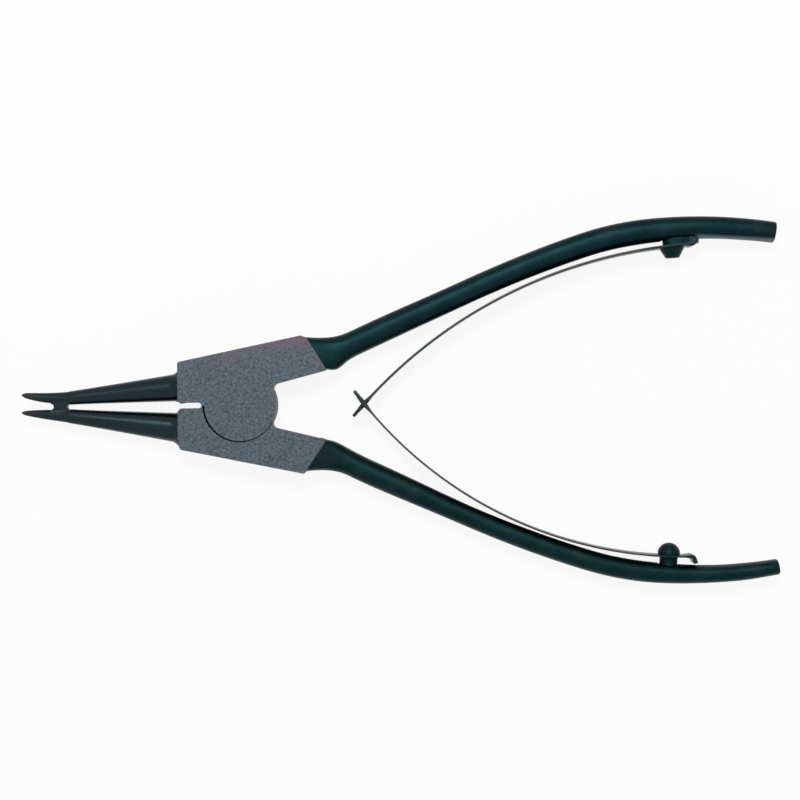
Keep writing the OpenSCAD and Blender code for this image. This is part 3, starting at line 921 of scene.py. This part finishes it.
colour = lay_over(  # purple tint along the upper edge
    tree, colour, "#5d4a60", (edge, *EDGE_TINT), (along, *EDGE_FADE, 0.35, 1), (clouds, 0.38, 0.6, 0.3, 0.9))
colour = lay_over(  # brown tint at the upper rear
    tree, colour, "#60452f", (rear, *REAR_TINT), (edge, *REAR_FADE), (clouds, 0.42, 0.58, 0.1, 0.7))
dull = {"From Min": 0.3, "From Max": 0.7, "To Min": 0.42, "To Max": 0.58}
surface(tree, colour, add(tree, "MapRange", dull, {"Value": grain}).outputs[0], scratches, 0.006, 0.6)
print("material:", ground_steel.name, "nodes:", len(tree.nodes))

# %% [markdown]
# The spring strips are rolled and tempered: a thin, smooth, dark grey skin that shifts toward brown along the length.
# Toward the rivet and at the hook it is painted black, a painted shade where it runs under other parts. A plain noise
# would leave dots, so one that is stretched along the strip draws the lines from the rolls.

# %% Tempered spring strip
# Rolling lines are hundredths of a millimetre wide, so these are drawn coarser, to show at all.
LINE_W, STRIP_CLOUD = 0.3, 9
ROLLING_STRETCH = (0.1, 0.1, 1)
# where the painted shade ramps in, toward the rivet and toward the hook, along X
RIVET_SHADE, HOOK_SHADE = (94 * MM, 99 * MM), (31 * MM, 29 * MM)
spring_steel, tree = new_material("tempered spring strip, rolled")
coordinates = add(tree, "TexCoord").outputs["Object"]
stretch = {"operation": "MULTIPLY", 1: ROLLING_STRETCH}
rolled = add(tree, "VectorMath", stretch, {0: coordinates}).outputs[0]
patterns = []
for size, detail, rough, vector in ((LINE_W, 4, 0.6, rolled), (STRIP_CLOUD, 3, 0.55, coordinates)):
    settings = {"Scale": 1 / (size * MM), "Detail": detail, "Roughness": rough}
    patterns.append(add(tree, "TexNoise", settings, {"Vector": vector}).outputs[0])
lines, clouds = patterns
along = add(tree, "SeparateXYZ", None, {0: coordinates}).outputs[0]
colour = lay_over(tree, "#2b3434", "#3a342b", (clouds, 0.35, 0.65))  # grey, going brown
colour = lay_over(tree, colour, "#414a4a", (lines, 0.3, 0.7, 0, 0.5))  # paler streaks
shade_ramps = []
for (start, stop), most in ((RIVET_SHADE, 0.9), (HOOK_SHADE, 0.6)):
    settings = {"From Min": start, "From Max": stop, "To Max": most}
    shade_ramps.append(add(tree, "MapRange", settings, {"Value": along}).outputs[0])
painted_shade = add(tree, "Math", {"operation": "MAXIMUM"}, dict(enumerate(shade_ramps))).outputs[0]
colour = lay_over(tree, colour, "#0f2024", (painted_shade, 0, 1))  # painted shade toward the rivet and at the hook
smooth = {"From Min": 0.3, "From Max": 0.7, "To Min": 0.30, "To Max": 0.44}
surface(tree, colour, add(tree, "MapRange", smooth, {"Value": lines}).outputs[0], lines, 0.004, 0.85)
print("material:", spring_steel.name, "nodes:", len(tree.nodes))

# %% [markdown]
# A forging carries two finishes, so its mesh gets two material slots. The faces that lie in the head's two side
# planes are the ground ones; everything else, the broken edges too, stays black and draws a fine dark line round
# the head. A mask inside one material would blur along that line. The joint's rivet is ground with the head.

# %% Give the pieces their finishes
PLANE_TOLERANCE = 0.02 * MM
FLAT_ENOUGH = 0.99
for forging in (upper, lower):
    forging.data.materials.clear()
    forging.data.materials.append(black_steel)
    forging.data.materials.append(ground_steel)
    ground_area = 0
    for face in forging.data.polygons:
        in_plane = min(abs(face.center.z), abs(face.center.z - HEAD_T * MM)) < PLANE_TOLERANCE
        on_head = in_plane and abs(face.normal.z) > FLAT_ENOUGH
        face.material_index = int(on_head)
        face.use_smooth = not on_head
        ground_area += face.area * on_head
    print(forging.name, "ground area in mm2:", round(ground_area * 1e6, 1))

joint_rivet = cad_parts["joint_rivet"]
finishes = {
    black_steel: [upper_collar, lower_collar, upper_rivet, lower_rivet],
    spring_steel: [upper_strip, lower_strip],
    ground_steel: [joint_rivet],
}
for material, pieces in finishes.items():
    for piece in pieces:
        piece.data.materials.clear()
        piece.data.materials.append(material)

# %% [markdown]
# Each piece now takes the place of its CAD solid; the levers' pieces move with that solid's body. The strips are
# special: one end is riveted to its own lever and the other is hooked to the other strip. Here each strip only has
# its place baked into its mesh, and it is attached to neither body.

# %% Join the pieces to the frame's bodies
stands_for = {
    "upper_lever": [(upper, "lever"), (upper_collar, "spring_spacer"), (upper_rivet, "spring_rivet")],
    "lower_lever": [(lower, "lever"), (lower_collar, "spring_spacer"), (lower_rivet, "spring_rivet")],
}
for body, pieces in stands_for.items():
    half = body.split("_")[0]
    for piece, solid in pieces:
        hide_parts(half + "_" + solid)
        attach(piece, body)
for piece, own, other in (
    (upper_strip, "upper_lever", "lower_lever"),
    (lower_strip, "lower_lever", "upper_lever"),
):
    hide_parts(own.split("_")[0] + "_spring_leaf")
    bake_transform(piece)

# %% [markdown]
# The photo is a catalogue shot on pure white. The floor is a plain white plane that the tool lies on. Seen by the
# camera, or in a reflection, most of its brightness is given rather than lit, so that it stays white but still
# keeps a faint shadow of the tool. A floor that is only lit would need far more light than the tool can take.

# %% White floor
FLOOR_SIZE = 6
FLOOR_DROP = 0.05 * MM
GIVEN_SHARE = 0.9


def seen(tree):
    """One for rays that show the background to the eye, straight or by way of metal, else zero."""
    rays = add(tree, "LightPath").outputs
    pair = add(tree, "Math", {"operation": "MAXIMUM"}, {0: rays["Is Camera Ray"], 1: rays["Is Glossy Ray"]})
    links = {0: pair.outputs[0], 1: rays["Is Transmission Ray"]}
    return add(tree, "Math", {"operation": "MAXIMUM"}, links).outputs[0]


bpy.ops.object.select_all(action="DESELECT")
bpy.ops.mesh.primitive_plane_add(size=FLOOR_SIZE, location=(0, 0, cad_box[0].z - FLOOR_DROP))
floor = bpy.context.object
floor.name = "white_floor"
white, tree = new_material("white table")
lit = add(tree, "BsdfDiffuse", {"Color": linear("#f4f4f4")})
given = add(tree, "Emission", {"Strength": 1.0})
share = add(tree, "MapRange", {"To Max": GIVEN_SHARE}, {"Value": seen(tree)}).outputs[0]
both = add(tree, "MixShader", None, {0: share, 1: lit.outputs[0], 2: given.outputs[0]})
add(tree, "OutputMaterial", None, {"Surface": both.outputs[0]})
floor.data.materials.append(white)
print("floor height in mm:", round(floor.location.z / MM, 3))

# %% [markdown]
# The world is white in the same way: to the eye, and in reflections, it has full brightness, but it lights the tool
# with less. A plain white world would light every side alike and leave the lamp nothing to shape.

# %% White room
AMBIENT = 0.45
world = bpy.data.worlds.new("white room")
world.use_nodes = True
tree = world.node_tree
tree.nodes.clear()
strength = add(tree, "MapRange", {"To Min": AMBIENT}, {"Value": seen(tree)}).outputs[0]
background = add(tree, "Background", {"Color": linear("#ffffff")}, {"Strength": strength})
add(tree, "OutputWorld", None, {"Surface": background.outputs[0]})
bpy.context.scene.world = world
print("light from the room on the tool:", AMBIENT)

# %% [markdown]
# One large soft lamp hangs above the table, a little toward the back, and draws the soft highlight along the middle
# of the jaws and handles. Its power is set so that a white card on the table would come out nearly white, which keeps
# the written colours true.

# %% Lamp
LAMP_SIZE = 0.24
LAMP_POWER = 3.4
LAMP_AT = (0.0, 0.34, 0.74)
LAMP_AIM = Vector((0.037, 0, 0))
bpy.ops.object.light_add(type="AREA", location=LAMP_AT)
lamp = bpy.context.object
lamp.name = "soft_lamp"
lamp.data.size = LAMP_SIZE
lamp.data.energy = LAMP_POWER
aim = LAMP_AIM - lamp.location
lamp.rotation_euler = aim.to_track_quat("-Z", "Y").to_euler()
print("lamp power in W:", lamp.data.energy)

# %% [markdown]
# The camera looks straight down through a long lens. In the photo the pivot is left of the middle and the tool is
# turned by about half a degree, so the camera's place and roll are worked out from where the pivot appears and
# from the width of table that the picture spans.

# %% Camera
PICTURE_W = 190.4
PIVOT_OFF = Vector((-37.7, -1.2))
ROLL = math.radians(-0.6)
LENS, SENSOR = 100, 36
camera_data = bpy.data.cameras.new("catalogue_camera")
camera_data.lens = LENS
camera_data.sensor_width = SENSOR
camera = bpy.data.objects.new("catalogue_camera", camera_data)
bpy.context.scene.collection.objects.link(camera)
right = Vector((math.cos(ROLL), math.sin(ROLL)))
upward = Vector((-math.sin(ROLL), math.cos(ROLL)))
middle = -(right * PIVOT_OFF.x + upward * PIVOT_OFF.y)
camera.location = point(*middle, MID_Z + PICTURE_W * LENS / SENSOR)
camera.rotation_euler = (0, 0, ROLL)
bpy.context.scene.camera = camera
bpy.context.scene.view_settings.view_transform = "Standard"
print("camera at mm:", [round(c / MM, 1) for c in camera.location])
